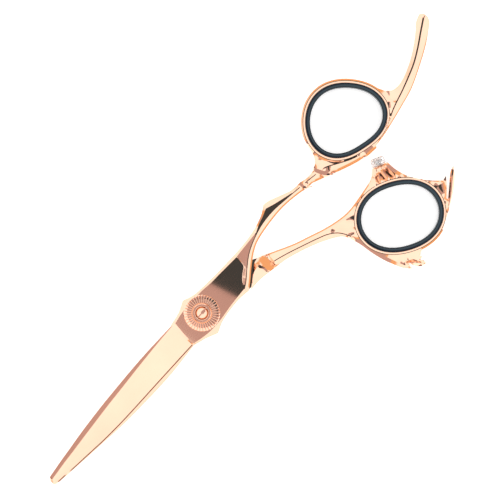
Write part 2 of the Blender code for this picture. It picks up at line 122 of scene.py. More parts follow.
def rising(x, start, end):
    """0 before start, 1 after end, smooth between; start may be the larger."""
    t = np.clip((np.asarray(x, float) - start) / (end - start), 0, 1)
    return t * t * (3 - 2 * t)


def flowing(points, step=CURVE_STEP):
    """Points every step along a smooth curve through the given ones."""
    given = np.array(points, float)
    if len(given) == 2:
        count = max(2, int(np.linalg.norm(given[1, :2] - given[0, :2]) / step) + 1)
        return np.linspace(given[0], given[1], count)
    ends = [2 * given[0] - given[1], 2 * given[-1] - given[-2]]
    padded = np.vstack([ends[0], given, ends[1]])
    knots = np.concatenate([[0], np.cumsum(np.sqrt(np.linalg.norm(np.diff(padded[:, :2], axis=0), axis=1)))])
    made = []
    for i in range(1, len(padded) - 2):
        count = max(1, int(round(np.linalg.norm(padded[i + 1, :2] - padded[i, :2]) / step)))
        t = np.linspace(knots[i], knots[i + 1], count, endpoint=False)[:, None]
        p0, p1, p2, p3 = padded[i - 1:i + 3]
        t0, t1, t2, t3 = knots[i - 1:i + 3]
        a1 = (t1 - t) / (t1 - t0) * p0 + (t - t0) / (t1 - t0) * p1
        a2 = (t2 - t) / (t2 - t1) * p1 + (t - t1) / (t2 - t1) * p2
        a3 = (t3 - t) / (t3 - t2) * p2 + (t - t2) / (t3 - t2) * p3
        b1 = (t2 - t) / (t2 - t0) * a1 + (t - t0) / (t2 - t0) * a2
        b2 = (t3 - t) / (t3 - t1) * a2 + (t - t1) / (t3 - t1) * a3
        made.append((t2 - t) / (t2 - t1) * b1 + (t - t1) / (t2 - t1) * b2)
    made.append(given[-1:])
    return np.vstack(made)


def closed_outline(*runs):
    """One closed line from runs that meet at corners."""
    parts = [flowing(run)[:-1] for run in runs]
    return np.vstack(parts)


def ring_points(ring, out, height, first=0.0, last=360.0, step=CURVE_STEP):
    """(x, y, height) points beside the insert's lip, between two angles in degrees."""
    count = max(3, int(abs(math.radians(last - first)) * ring["r"] / step))
    degrees = np.linspace(first, last, count)
    (oval, oval_at), (egg, egg_at) = ring["oval"], ring["egg"]
    far = (ring["r"] + out + oval * np.cos(np.radians(2 * (degrees - oval_at)))
           + egg * np.cos(np.radians(3 * (degrees - egg_at))))
    turn = np.radians(degrees)
    return np.stack([ring["centre"][0] + far * np.cos(turn), ring["centre"][1] + far * np.sin(turn),
                     np.full(count, height)], 1)


def beside(line, gap, height=None):
    """The line moved by gap to its left, at its own heights or at one given height. gap may be one
    value or (start, end)."""
    line = np.array(line, float)
    ahead = np.gradient(line[:, :2], axis=0)
    ahead /= np.maximum(np.linalg.norm(ahead, axis=1, keepdims=True), TINY)
    reach = np.linspace(*gap, len(line)) if isinstance(gap, tuple) else np.full(len(line), gap)
    moved = line.copy()
    moved[:, 0] -= ahead[:, 1] * reach
    moved[:, 1] += ahead[:, 0] * reach
    if height is not None:
        moved[:, 2] = height
    return moved


# Slopes of facets, as drop over distance. Each turns a facet to another band of the studio.
GENTLE, MEDIUM, STEEP, SHOULDER = 0.36, 0.50, 0.88, 0.69
SHOULDER_TRIM = 3    # points left off at each end of a shoulder line, where it would touch the outline


def sloped(run, ridge, slope, inset=0.0, low=0.2):
    """The run with heights that fall away from a ridge, and the shoulder line inset from it,
    where the surface turns down more steeply."""
    line, ridge = flowing(run), flowing(ridge)
    gap = np.linalg.norm(line[:, None, :2] - ridge[None, :, :2], axis=2)
    nearest = gap.argmin(1)
    line[:, 2] = np.maximum(low, ridge[nearest, 2] - slope * gap.min(1) / HALF_THICK)
    shoulder = beside(line, inset)
    shoulder[:, 2] += slope * inset / HALF_THICK
    line[:, 2] -= (SHOULDER - slope) * inset / HALF_THICK
    return line, shoulder[SHOULDER_TRIM:-SHOULDER_TRIM]


def crest(points, width):
    """Both edges of a narrow flat along a smooth line; width may be (start, end)."""
    line = flowing(points)
    half = tuple(w / 2 for w in width) if isinstance(width, tuple) else width / 2
    other = tuple(-w for w in half) if isinstance(width, tuple) else -half
    return [beside(line, half), beside(line, other)]


def scale_patch(points, at, fall, raised=1.07):
    """Closed outline of a raised scale whose level top falls slightly towards the blades."""
    loop = flowing(points)
    loop[:, 2] = raised - fall * (loop[:, 0] - at)
    return loop


def new_mesh(name, verts, faces, sharp=38.0, creases=()):
    """Smooth-shaded mesh object from millimetre points, faces turned outwards."""
    mesh = bpy.data.meshes.new(name)
    mesh.from_pydata((np.asarray(verts, float) * MM).tolist(), [], [list(map(int, f)) for f in faces])
    work = bmesh.new()
    work.from_mesh(mesh)
    bmesh.ops.recalc_face_normals(work, faces=work.faces)
    if work.calc_volume(signed=True) < 0:
        bmesh.ops.reverse_faces(work, faces=work.faces)
    work.to_mesh(mesh)
    work.free()
    mesh.shade_smooth()
    mesh.set_sharp_from_angle(angle=math.radians(sharp))
    if creases:
        for edge in mesh.edges:
            if tuple(sorted(edge.vertices)) in creases:
                edge.use_edge_sharp = True
    made = bpy.data.objects.new(name, mesh)
    bpy.context.scene.collection.objects.link(made)
    return made


def grid_faces(rows, count, closed):
    """Quads over rows of count points; the rows close on each other when closed."""
    faces = []
    for k in range(rows if closed else rows - 1):
        here, there = k * count, ((k + 1) % rows) * count
        faces += [(here + i, here + (i + 1) % count, there + (i + 1) % count, there + i)
                  for i in range(count)]
    return faces


def block(name, half_x, half_y, low, high):
    """Upright box centred on the pivot axis."""
    corners = ((-half_x, -half_y), (half_x, -half_y), (half_x, half_y), (-half_x, half_y))
    return new_mesh(name, [(x, y, z) for z in (low, high) for x, y in corners],
                    grid_faces(2, 4, False) + [(0, 1, 2, 3), (4, 5, 6, 7)])


def swept(name, ring, profile, step, sharp=38.0):
    """Closed body whose section of (outward, up) points follows the lip of a ring."""
    loops = [ring_points(ring, out, 0.0, step=step)[:-1] for out, _ in profile]
    rows = [[(loop[k][0], loop[k][1], RING_MID + up) for loop, (_, up) in zip(loops, profile)]
            for k in range(len(loops[0]))]
    return new_mesh(name, [p for row in rows for p in row],
                    grid_faces(len(rows), len(profile), True), sharp)


def combine(base, others, operation):
    """Applies boolean steps to base and removes the other objects."""
    for other in others:
        step = base.modifiers.new(operation, "BOOLEAN")
        step.operation = operation
        step.solver = "MANIFOLD"
        step.object = other
    shape = bpy.data.meshes.new_from_object(base.evaluated_get(bpy.context.evaluated_depsgraph_get()))
    base.modifiers.clear()
    base.data = shape
    for other in others:
        bpy.data.objects.remove(other, do_unlink=True)
    return base


def inside(points, loop):
    """Which points lie inside a closed loop."""
    x, y = points[:, 0], points[:, 1]
    found = np.zeros(len(points), bool)
    ahead = np.roll(loop, -1, 0)
    for (x0, y0), (x1, y1) in zip(loop[:, :2], ahead[:, :2]):
        if y0 == y1:
            continue
        crosses = ((y0 > y) != (y1 > y)) & (x < (x1 - x0) * (y - y0) / (y1 - y0) + x0)
        found ^= crosses
    return found


def sculpted(name, outline, ridges, levels, hole=None, spacing=MESH_SPACING):
    """Closed body over an outline. The outline, the hole's rim and each ridge carry a height from
    0 to 1 as their third value; between them the surface is stretched like a soap film, so a
    ridge stays a crisp line between smooth facets. levels(x, y, height) gives top and bottom z."""
    lines = [(outline, True)] + ([(hole, True)] if hole is not None else []) + [
        (ridge, bool(np.allclose(ridge[0], ridge[-1]))) for ridge in ridges]
    points, heights, edges = [], [], []
    for line, closed in lines:
        line = line[:-1] if closed and np.allclose(line[0], line[-1]) else line
        start = len(points)
        points += [tuple(p[:2]) for p in line]
        heights += [p[2] for p in line]
        edges += [(start + i, start + i + 1) for i in range(len(line) - 1)]
        if closed:
            edges.append((start + len(line) - 1, start))
    fixed = np.array(points)
    low, high = outline[:, :2].min(0), outline[:, :2].max(0)
    columns = np.arange(low[0], high[0], spacing)
    rows = np.arange(low[1], high[1], spacing * math.sqrt(0.75))
    grid = np.array([(x + (k % 2) * spacing / 2, y) for k, y in enumerate(rows) for x in columns])
    grid = grid[inside(grid, outline)]
    if hole is not None:
        grid = grid[~inside(grid, hole)]
    clear, nearest, batch = np.ones(len(grid), bool), spacing * 0.55, 200
    for start in range(0, len(fixed), batch):
        gap = np.linalg.norm(grid[:, None] - fixed[None, start:start + batch], axis=2).min(1)
        clear &= gap > nearest
    grid = grid[clear]
    cdt = delaunay_2d_cdt([Vector(p) for p in points] + [Vector(p) for p in grid], edges, [], 0, 1e-5)
    spots = np.array([tuple(v) for v in cdt[0]])
    triangles = np.array([tuple(f) for f in cdt[2]])
    middles = spots[triangles].mean(1)
    keep = inside(middles, outline)
    if hole is not None:
        keep &= ~inside(middles, hole)
    triangles = triangles[keep]
    height = np.full(len(spots), np.nan)
    for i, sources in enumerate(cdt[3]):
        known = [heights[s] for s in sources if s < len(heights)]
        if known:
            height[i] = known[0]
    height = stretched(spots, triangles, height)
    used = np.unique(triangles)
    renumber = np.full(len(spots), -1)
    renumber[used] = np.arange(len(used))
    spots, height, triangles = spots[used], height[used], renumber[triangles]
    top, bottom = levels(spots[:, 0], spots[:, 1], height)
    count = len(spots)
    verts = np.vstack([np.column_stack([spots, top]), np.column_stack([spots, bottom])])
    a, b, c = (spots[triangles[:, k]] for k in range(3))
    area = (b[:, 0] - a[:, 0]) * (c[:, 1] - a[:, 1]) - (b[:, 1] - a[:, 1]) * (c[:, 0] - a[:, 0])
    triangles[area < 0] = triangles[area < 0][:, ::-1]
    faces = [tuple(t) for t in triangles] + [tuple(t[::-1] + count) for t in triangles]
    seen = {(t[i], t[(i + 1) % 3]) for t in triangles for i in range(3)}
    faces += [(i, i + count, j + count, j) for i, j in seen if (j, i) not in seen]
    creases = set()
    for (i, j), sources in zip(cdt[1], cdt[4]):
        i, j = sorted((int(renumber[i]), int(renumber[j])))
        if len(sources) and i >= 0:
            creases |= {(i, j), (i + count, j + count)}
    return new_mesh(name, verts, faces, 50.0, creases)


def stretched(spots, triangles, height, rounds=1200, settled=1e-18):
    """Fills the unknown heights, by cotangent weights solved with conjugate gradients."""
    least, most, first_guess = 0.02, 20, 0.8
    sources, targets, weights = [], [], []
    for k in range(3):
        i, j, far = triangles[:, k], triangles[:, (k + 1) % 3], triangles[:, (k + 2) % 3]
        u, v = spots[i] - spots[far], spots[j] - spots[far]
        cross = np.abs(u[:, 0] * v[:, 1] - u[:, 1] * v[:, 0])
        weight = np.clip((u * v).sum(1) / np.maximum(cross, TINY), least, most)
        sources += [i, j]
        targets += [j, i]
        weights += [weight, weight]
    sources, targets, weights = np.concatenate(sources), np.concatenate(targets), np.concatenate(weights)
    total = np.maximum(np.bincount(sources, weights, len(spots)), TINY)
    free = np.isnan(height)

    def pull(values):
        spread = np.bincount(sources, weights * values[targets], len(spots))
        return np.where(free, values - spread / total, 0.0)

    height = np.where(free, first_guess, height)
    rest = -pull(height)
    step, scaled = rest.copy(), rest * total
    energy = rest @ scaled
    for _ in range(rounds):
        if energy < settled:
            break
        moved = pull(step)
        length = energy / (step @ (moved * total))
        height = height + length * step
        rest = rest - length * moved
        previous, energy = energy, rest @ (rest * total)
        step = rest + energy / previous * step
    return height


# ---------------------------------------------------------------- the two halves

def blade(name, edge, mirrored):
    """Blade from heel to tip: a tilted outer face, a bevel to the edge, a hollow inner face. The
    bevel and the spine's side take at most a share of a narrow blade, and the hollow gets shallower."""
    bevel_share, side_wide, side_share = 0.45, 0.3, 0.2
    hollow_deep, hollow_full_width, crown_high = 0.12, 5, 0.05
    inner = THUMB_INNER if mirrored else FINGER_INNER
    flip = -1 if mirrored else 1
    stations = [np.linspace(HEEL_X, FINE_X, 60, endpoint=False), np.linspace(FINE_X, TIP_X, 26)]
    rows = []
    for x in np.concatenate(stations):
        spine, cut = float(along(SPINE, x)), float(along(edge, x))
        width = spine + cut
        back = float(along(SPINE_THICK, x))
        bevel = min(float(along(BEVEL_WIDE, x)), bevel_share * width)
        front = BEVEL_LAND + bevel * BEVEL_SLOPE
        side = min(side_wide, side_share * width)
        hollow = hollow_deep * min(1.0, width / hollow_full_width)
        section = [(spine, 0.0), (spine, back - SPINE_SLOPE * side), (spine - side, back)]
        face_from, face_to = spine - side, -cut + bevel
        for t in (0.25, 0.5, 0.75):
            crown = crown_high * math.sin(math.pi * t)
            section.append((face_from + t * (face_to - face_from), back + t * (front - back) + crown))
        section += [(face_to, front), (-cut, BEVEL_LAND), (-cut, 0.0)]
        for t in (0.12, 0.3, 0.5, 0.7, 0.9):
            section.append((-cut + t * width, hollow * math.sin(math.pi * min(1, max(0, (t - 0.1) / 0.8)))))
        rows.append([(x, y * flip, inner + z * flip) for y, z in section])
    count = len(rows[0])
    verts = [p for row in rows for p in row]
    faces = grid_faces(len(rows), count, False)
    faces += [tuple(range(count)), tuple(range((len(rows) - 1) * count, len(rows) * count))]
    return new_mesh(name, verts, faces, 10.0)


# Border of the front plate's level face, and the step beside its back line, as (x, y, height)
PLATE_TOP_LINE = (
    (-12.5, 4.3, 1), (-9.9, 4.4, 1), (-6.6, 4.6, 1), (-2.2, 5.05, 1), (2.0, 5.05, 1), (4.4, 4.7, 1),
    (6.4, 4.2, 1), (7.8, 3.8, 1))
PLATE_END_LINE = (
    (7.8, 3.8, 1), (7.95, 3.0, 1), (7.7, 1.6, 1), (7.55, 0.0, 1), (7.3, -1.6, 1), (7.0, -3.6, 1))
PLATE_LOW_LINE = (
    (7.0, -3.6, 1), (3.3, -4.15, 1), (-4.4, -4.05, 1), (-7.7, -3.65, 1), (-11, -3.5, 1), (-14.3, -3.3, 1),
    (-17.8, -3.1, 1))
PLATE_BACK_LINE = (
    (-17.8, -3.1, 1), (-17.6, -1.3, 1), (-17.2, 0.0, 1), (-15.6, 1.1, 1), (-14.2, 2.2, 1), (-12.5, 4.3, 1))
PLATE_STEP_LINE = (
    (-17.8, -3.1, 0.933), (-17.6, -1.3, 0.962), (-17.2, 0.0, 0.981), (-15.6, 1.1, 0.981), (-14.2, 2.2, 0.982),
    (-12.5, 4.3, 1))


def finger_levels(x, y, height):
    """Top and bottom of the front half. The ring and shank are alike on both sides, the plate has a
    flat underside, and the finger rest gets thinner to its end."""
    plate_up, plate_down = FINGER_TOP - PLATE_MID, PLATE_MID - FINGER_INNER
    middle = along(((-45, RING_MID), (-34, 3.15), (-24.5, PLATE_MID), (8, PLATE_MID)), x)
    up = along(((-45, HALF_THICK), (-34, HALF_THICK), (-24.5, plate_up), (8, plate_up)), x)
    down = along(((-45, HALF_THICK), (-34, 1.75), (-25, 0.6), (-18, plate_down), (8, plate_down)), x)
    mirrored = rising(x, -24, -33)
    taper = 1 - 0.3 * rising(x, -90, -103)
    return middle + up * height * taper, middle - down * (1 + mirrored * (height - 1)) * taper


# Lines of a ring's metal band, from the hole's rim outwards, as (distance from the lip, height)
BAND_RIM, BAND_INNER, BAND_OUTER, BAND_EDGE = (0.06, 1.0), (0.50, 0.90), (0.67, 0.90), (1.13, 0.76)


def ring_band(ring):
    """Creases of a ring's metal band: it falls outwards to a thin level step, then turns down."""
    return [ring_points(ring, *BAND_INNER), ring_points(ring, *BAND_OUTER)]


def edge_point(ring, angle):
    """The point of the band's outer edge at an angle in degrees."""
    return tuple(ring_points(ring, *BAND_EDGE, angle, angle)[0])


def finger_handle():
    """Plate, shank, ring and finger rest of the front half, in one sculpted body."""
    ring = FINGER_RING
    shank_crest = ((-12.5, 4.45, 1), (-14.4, 3.35, 1), (-17.6, 0.95, 1), (-20.8, -1.15, 1), (-24, -2.5, 1),
                   (-28.8, -3.75, 1), (-33.6, -4.05, 1), (-37.9, -3.6, 1), (-43.9, -2.75, 1))
    middle_crest = ((-45.4, -2.5, 1.0), (-47.4, -2.2, 1.0), (-49.4, -1.85, 1.0))
    ring_crease = ((-51.9, -1.35, 1.0), (-53.0, -0.9, 1.0), (-55.6, 0.75, 1.0), (-58.4, 2.45, 1.0),
                   (-60.6, 3.45, 1.0))
    rest_ridge = ((-101.4, -8.4, 1), (-98, -6.4, 1), (-94, -4.0, 1), (-90, -1.95, 1), (-86, -0.5, 1),
                  (-82, 0.75, 1), (-78.6, 1.65, 1), (-76.4, 2.35, 0.98), (-74.2, 3.25, 0.95),
                  (-72.0, 3.95, 0.91))
    shank_top, shank_shoulder = sloped(
        ((-13.2, 5.6, 0), (-15.8, 3.8, 0), (-18.4, 1.85, 0), (-21.9, -0.4, 0), (-24.8, -1.6, 0),
         (-30, -2.4, 0), (-36, -2.65, 0), (-40.1, -2.2, 0), (-44, -1.35, 0), (-46.3, -0.25, 0)),
        shank_crest, GENTLE, 0.4)
    middle_top, middle_shoulder = sloped(
        ((-46.8, -1.0, 0), (-49.6, 0.25, 0), (-51.0, 1.0, 0), (-53.2, 2.25, 0)), middle_crest, GENTLE, 0.6)
    ring_top, ring_shoulder = sloped(
        ((-53.1, 1.8, 0), (-54.6, 2.5, 0), (-57.6, 3.75, 0), (-60, 4.6, 0), (-61.8, 4.98, 0)),
        ring_crease, GENTLE, 0.75)
    rest_top, rest_shoulder = sloped(
        ((-66.3, 5.3, 0), (-70.4, 4.95, 0), (-74.0, 4.35, 0), (-79, 3.4, 0), (-84.4, 2.2, 0), (-90, 0.0, 0),
         (-96, -2.8, 0), (-100, -5.2, 0), (-101.5, -6.3, 0), (-102.2, -7.6, 0), (-102.1, -8.9, 0),
         (-101.2, -9.85, 0)), rest_ridge + ((-70.0, 4.4, 0.9), (-66.0, 4.75, 0.9)), GENTLE, 0.25)
    rest_low, _ = sloped(
        ((-101.2, -9.85, 0), (-99, -9.0, 0), (-97, -7.4, 0), (-93, -4.8, 0), (-89, -2.8, 0), (-85, -1.4, 0),
         (-82.2, -1.05, 0), (-80.4, -1.6, 0), (-79.2, -2.8, 0)), rest_ridge, MEDIUM, low=0.55)
    in_angle, out_angle = 175, 338
    ring_in, ring_out = edge_point(ring, in_angle), edge_point(ring, out_angle)
    outline = closed_outline(
        ((8.3, 4.1, 0.86), (6.6, 4.75, 0.86), (4.4, 5.5, 0.84), (1.2, 7.0, 0.62)),
        ((1.2, 7.0, 0.62), (-2.0, 5.75, 0.84), (-6.6, 5.2, 0.86), (-10, 5.15, 0.84), tuple(shank_top[0])),
        shank_top,
        (tuple(shank_top[-1]), (-45.85, -0.95, 0.8), tuple(middle_top[0])),
        middle_top,
        (tuple(middle_top[-1]), (-52.3, 1.2, 0.8), tuple(ring_top[0])),
        ring_top,
        (tuple(ring_top[-1]), (-62.25, 5.45, 0.62)),
        ((-62.25, 5.45, 0.62), (-65.8, 5.85, 0.59)),
        ((-65.8, 5.85, 0.59), tuple(rest_top[0])),
        rest_top,
        np.vstack([rest_low, ring_in]),
        ring_points(ring, *BAND_EDGE, in_angle, out_angle, 1.2),
        (ring_out, (-53.6, -8.1, 0.72), (-53.1, -6.4, 0.6), (-52.3, -4.9, 0.56), (-51.2, -3.9, 0.6),
         (-50.2, -3.5, 0.9)),
        ((-50.2, -3.5, 0.9), (-49.4, -3.1, 0.8), (-47.4, -3.0, 0.8), (-45.4, -3.4, 0.8)),
        ((-45.4, -3.4, 0.8), (-44.6, -3.7, 0.9), (-43.6, -3.6, 0.8)),
        ((-43.6, -3.6, 0.8), (-41.5, -4.0, 0.8), (-39.3, -4.9, 0.78), (-37.1, -5.9, 0.74),
         (-34.9, -6.8, 0.74), (-33.4, -7.1, 0.74)),
        ((-33.4, -7.1, 0.74), (-31.2, -5.8, 0.78), (-28.8, -5.0, 0.82), (-26.4, -4.45, 0.84),
         (-21.6, -3.95, 0.84), (-15.2, -4.0, 0.84), (-7.7, -4.35, 0.84), (-2.2, -4.95, 0.84),
         (1.0, -6.2, 0.62)),
        ((1.0, -6.2, 0.62), (4.2, -4.85, 0.84), (8.3, -4.1, 0.86)),
        ((8.3, -4.1, 0.86), (8.3, 4.1, 0.86)),
    )
    ridges = [flowing(line) for line in (
        PLATE_TOP_LINE, PLATE_END_LINE, PLATE_LOW_LINE, PLATE_BACK_LINE,
        ((1.15, 5.15, 0.98), (1.2, 6.85, 0.64)),
        ((1.0, -4.3, 0.98), (1.0, -6.05, 0.64)),
        ((-33.2, -6.0, 1.0), (-33.4, -6.95, 0.75)),
        # level triangle under the shank's crest, then the facet that runs up to the plate
        ((-26.4, -3.55, 1.0), (-28.6, -4.45, 1.0), (-30.6, -5.0, 1.0), (-33.1, -5.9, 1.0)),
        ((-33.1, -5.9, 1.0), (-35.6, -5.0, 1.0), (-38.6, -4.1, 1.0), (-41.2, -3.35, 1.0)),
        ((-18.1, -3.15, 0.933), (-22.0, -3.35, 0.967), (-26.4, -3.55, 1.0)),
        # valley between the ring and the crease
        ((-57.0, 1.45, 0.84), (-54.9, -0.9, 0.76), (-53.4, -3.2, 0.68), (-53.2, -4.9, 0.66)),
        ((-79.3, -2.2, 0.58), (-78.7, -0.6, 0.62), (-78.6, 0.6, 0.72), (-78.9, 1.35, 0.95)),
        ((-62.4, 4.75, 0.86), (-65.6, 5.05, 0.86)),
    )]
    ridges += [beside(flowing(PLATE_STEP_LINE), 0.12)[1:-4]]
    ridges += crest(shank_crest, 0.24) + crest(middle_crest, 0.24) + crest(ring_crease, (0.34, 0.18))
    ridges += crest(rest_ridge, (0.5, 0.3))
    ridges += [
        scale_patch(((-46.3, -0.3, 0), (-45.1, -0.85, 0), (-44.35, -1.75, 0), (-44.05, -2.9, 0),
                     (-44.45, -3.45, 0), (-44.95, -2.75, 0), (-45.5, -1.6, 0), (-46.3, -0.3, 0)),
                    -45.0, 0.038),
        scale_patch(((-52.9, 2.0, 0), (-51.6, 1.1, 0), (-50.7, 0.1, 0), (-49.75, -2.0, 0), (-49.7, -2.9, 0),
                     (-50.25, -3.2, 0), (-50.95, -1.9, 0), (-51.65, -0.3, 0), (-52.9, 2.0, 0)), -51.2, 0.029),
        shank_shoulder[shank_shoulder[:, 0] > -44.0], middle_shoulder[middle_shoulder[:, 0] > -50.2],
        ring_shoulder[ring_shoulder[:, 0] < -54.2], rest_shoulder,
    ]
    ridges += ring_band(ring)
    rim = ring_points(ring, *BAND_RIM)
    return sculpted("finger_half_polished", outline, ridges, finger_levels, rim)


def thumb_levels(x, y, height):
    """Top and bottom of the back half. The collar steps up to the front half, and the fins get
    thinner to their points."""
    middle = along(((-45, RING_MID), (-24, 2.9), (-12, 3.0)), x)
    up = along(((-45, HALF_THICK), (-34, 2.0), (-23.7, 2.2), (-23.3, 3.2), (-12, 3.2)), x)
    down = along(((-45, HALF_THICK), (-34, 2.0), (-24, 2.1), (-12, 2.2)), x)
    far = np.hypot(x - THUMB_RING["centre"][0], y - THUMB_RING["centre"][1])
    fins = rising(far, 13.0, 21.0) * np.where((x < -60) | (y > 28), 1.0, 0.0) * (y > 12)
    taper = 1 - 0.5 * fins
    return middle + up * height * taper, middle - down * height * taper


def thumb_handle():
    """Collar, shank, ring, fins and bumper boss of the back half."""
    ring = THUMB_RING
    shank_crest = ((-23.6, 5.35, 1), (-25.0, 5.75, 1), (-28.0, 6.8, 1), (-32, 8.4, 1), (-36.2, 10.15, 1),
                   (-39.0, 11.5, 1), (-41.0, 13.1, 1), (-42.2, 14.9, 0.98), (-43.0, 17.0, 0.96))
    band_right, band_foot = (tuple(map(tuple, ring_points(ring, *BAND_OUTER, *span)))
                             for span in ((-30, 60), (233, 275)))
    shank_top, _ = sloped(
        ((-23.3, 6.9, 0), (-26.4, 7.6, 0), (-32, 9.6, 0), (-36.4, 11.65, 0), (-40.1, 13.9, 0),
         (-41.3, 14.9, 0), (-42.3, 16.6, 0)), shank_crest[:8], GENTLE)
    side_top, _ = sloped(
        ((-42.3, 16.6, 0), (-43.0, 20, 0), (-43.5, 24.8, 0), (-44.3, 28.6, 0)), band_right, STEEP)
    shank_low, shank_shoulder = sloped(
        ((-57.7, 10.6, 0), (-54, 11.1, 0), (-48.1, 11.65, 0), (-44.9, 11.3, 0), (-40.1, 10.0, 0),
         (-34.9, 7.95, 0), (-31.2, 6.45, 0), (-26.4, 3.95, 0), (-23.6, 2.45, 0)),
        band_foot + ((-48.0, 12.9, 0.88), (-44.5, 12.3, 0.9), (-41.0, 11.6, 0.95)) + shank_crest[5::-1],
        GENTLE, 0.34)
    side_angle, top_angle = 74, 112
    ring_side, ring_top = edge_point(ring, side_angle), edge_point(ring, top_angle)
    outline = closed_outline(
        ((-13.7, 5.85, 0.72), (-15.6, 5.8, 0.74), (-18.0, 5.95, 0.86), (-20.2, 6.3, 0.98)),
        ((-20.2, 6.3, 0.98), (-20.7, 6.4, 0.98), (-21.6, 6.6, 0.80), (-22.6, 6.8, 0.58), tuple(shank_top[0])),
        shank_top,
        np.vstack([shank_top[-1:], side_top[1:]]),
        (tuple(side_top[-1]), (-46.1, 33.4, 0.55), (-47.6, 35.3, 0.5)),
        ((-47.6, 35.3, 0.5), (-47.75, 34.0, 0.6), (-48.1, 33.4, 0.5)),
        ((-48.1, 33.4, 0.5), (-48.6, 35.2, 0.55), (-49.6, 36.6, 0.55), (-51.2, 37.15, 0.55)),
        ((-51.2, 37.15, 0.55), (-51.3, 36.1, 0.6), (-50.8, 35.3, 0.55)),
        ((-50.8, 35.3, 0.55), (-51.9, 35.0, 0.6)),
        ((-51.9, 35.0, 0.6), (-51.6, 34.6, 0.7), ring_side),
        ring_points(ring, *BAND_EDGE, side_angle, top_angle, 1.2),
        (ring_top, (-61.8, 34.1, 0.72), (-67.1, 31.65, 0.66), (-71.7, 29.1, 0.62), (-75, 26.5, 0.64),
         (-76.3, 24.85, 0.8)),
        ((-76.3, 24.85, 0.8), (-74.7, 25.3, 0.7), (-71.2, 27.85, 0.6), (-68.3, 30.0, 0.6)),
        ((-68.3, 30.0, 0.6), (-68.3, 29.4, 0.6)),
        ((-68.3, 29.4, 0.6), (-71.2, 26.85, 0.6), (-72.9, 25.2, 0.6)),
        ((-72.9, 25.2, 0.6), (-71.3, 25.5, 0.6)),
        ((-71.3, 25.5, 0.6), (-69.1, 23.0, 0.62), (-66.9, 19.6, 0.72), (-65.6, 16.9, 0.68),
         (-64.95, 13.7, 0.54), (-64.9, 10.6, 0.54)),
        ((-64.9, 10.6, 0.62), (-60.8, 8.75, 0.62)),
        ((-60.8, 8.75, 0.62), (-59.2, 9.95, 0.6), tuple(shank_low[0])),
        shank_low,
        (tuple(shank_low[-1]), (-23.1, 2.15, 0.46), (-22.4, 1.85, 0.61)),
        ((-22.4, 1.85, 0.61), (-21.4, 1.4, 0.63), (-20.0, 1.6, 0.69)),
        ((-20.0, 1.6, 0.69), (-18.7, 2.4, 0.71), (-16.1, 4.25, 0.66), (-13.7, 5.85, 0.72)),
    )
    ridges = [flowing(line) for line in (
        # collar: groove, rising face, narrow level, upper facet, tip and the facet towards the front half
        ((-23.75, 6.95, 0.82), (-23.85, 5.45, 1.0), (-24.0, 3.9, 0.8), (-23.95, 2.8, 0.62)),
        ((-23.0, 6.6, 0.49), (-23.2, 4.9, 0.45), (-23.25, 3.5, 0.44), (-23.1, 2.4, 0.47)),
        ((-22.4, 1.98, 0.62), (-21.4, 2.55, 0.84), (-20.55, 3.3, 1.0)),
        ((-20.65, 6.1, 1.0), (-20.75, 4.6, 1.0), (-20.5, 3.3, 1.0)),
        ((-20.15, 6.0, 0.996), (-20.15, 4.6, 0.996), (-19.5, 3.3, 0.995)),
        ((-20.5, 3.3, 1.0), (-20.2, 2.95, 0.998), (-19.5, 3.05, 0.99), (-18.1, 3.2, 0.9), (-16.6, 3.95, 0.79),
         (-15.5, 4.75, 0.74)),
        ((-19.5, 3.3, 0.995), (-18.1, 3.4, 0.9), (-16.9, 4.05, 0.81), (-15.9, 4.85, 0.745)),
        ((-15.9, 4.85, 0.745), (-15.5, 5.7, 0.74)),
        # web between the shank and the ring
        ((-40.4, 11.35, 0.96), (-42.2, 11.65, 0.93), (-44.8, 12.3, 0.91), (-47.85, 13.35, 0.89)),
        ((-41.6, 12.0, 0.82), (-42.7, 13.0, 0.7), (-44.1, 14.6, 0.64), (-45.1, 15.9, 0.7)),
        # flutes of the bumper boss
        ((-64.4, 16.4, 0.88), (-63.9, 14.2, 0.96), (-63.8, 11.4, 0.94)),
        ((-61.9, 14.4, 0.96), (-62.1, 12.4, 0.96), (-62.4, 10.5, 0.93)),
        ((-60.0, 13.2, 0.96), (-60.4, 11.7, 0.96), (-60.7, 10.2, 0.92)),
        ((-57.8, 12.5, 0.92), (-58.9, 11.6, 0.92), (-59.5, 10.7, 0.88)),
        ((-63.0, 14.9, 0.58), (-63.0, 12.9, 0.55), (-63.1, 11.2, 0.56)),
        ((-61.0, 13.8, 0.60), (-61.25, 12.3, 0.59), (-61.5, 10.8, 0.59)),
        ((-59.1, 12.8, 0.64), (-59.6, 11.8, 0.63), (-60.1, 10.8, 0.63)),
        ((-64.0, 10.95, 0.86), (-61.1, 9.55, 0.86)),
        # flames
        ((-50.2, 35.2, 0.5), (-48.9, 34.0, 0.42), (-47.5, 32.5, 0.6)),
        ((-47.4, 34.6, 0.66), (-46.5, 32.2, 0.7), (-45.7, 29.6, 0.68), (-45.1, 27.4, 0.66)),
        # fins
        ((-70.8, 25.9, 0.84), (-69.7, 27.1, 0.84), (-68.9, 28.2, 0.84), (-68.75, 26.9, 0.84),
         (-69.3, 25.5, 0.84), (-70.8, 25.9, 0.84)),
        ((-70.2, 24.9, 0.72), (-68.7, 22.8, 0.72), (-67.3, 20.6, 0.76)),
    )]
    ridges += crest(shank_crest, 0.26)
    ridges += crest(((-50.6, 36.7, 0.74), (-49.1, 34.7, 1.0), (-48.0, 33.2, 1.06)), (0.2, 0.3))
    ridges += crest(((-75.9, 25.15, 0.92), (-73, 27.2, 1), (-69.6, 29.7, 1), (-66.8, 31.3, 1)), (0.5, 0.22))
    ridges += [shank_shoulder]
    ridges += ring_band(ring)
    rim = ring_points(ring, *BAND_RIM)
    return sculpted("thumb_half_polished", outline, ridges, thumb_levels, rim)


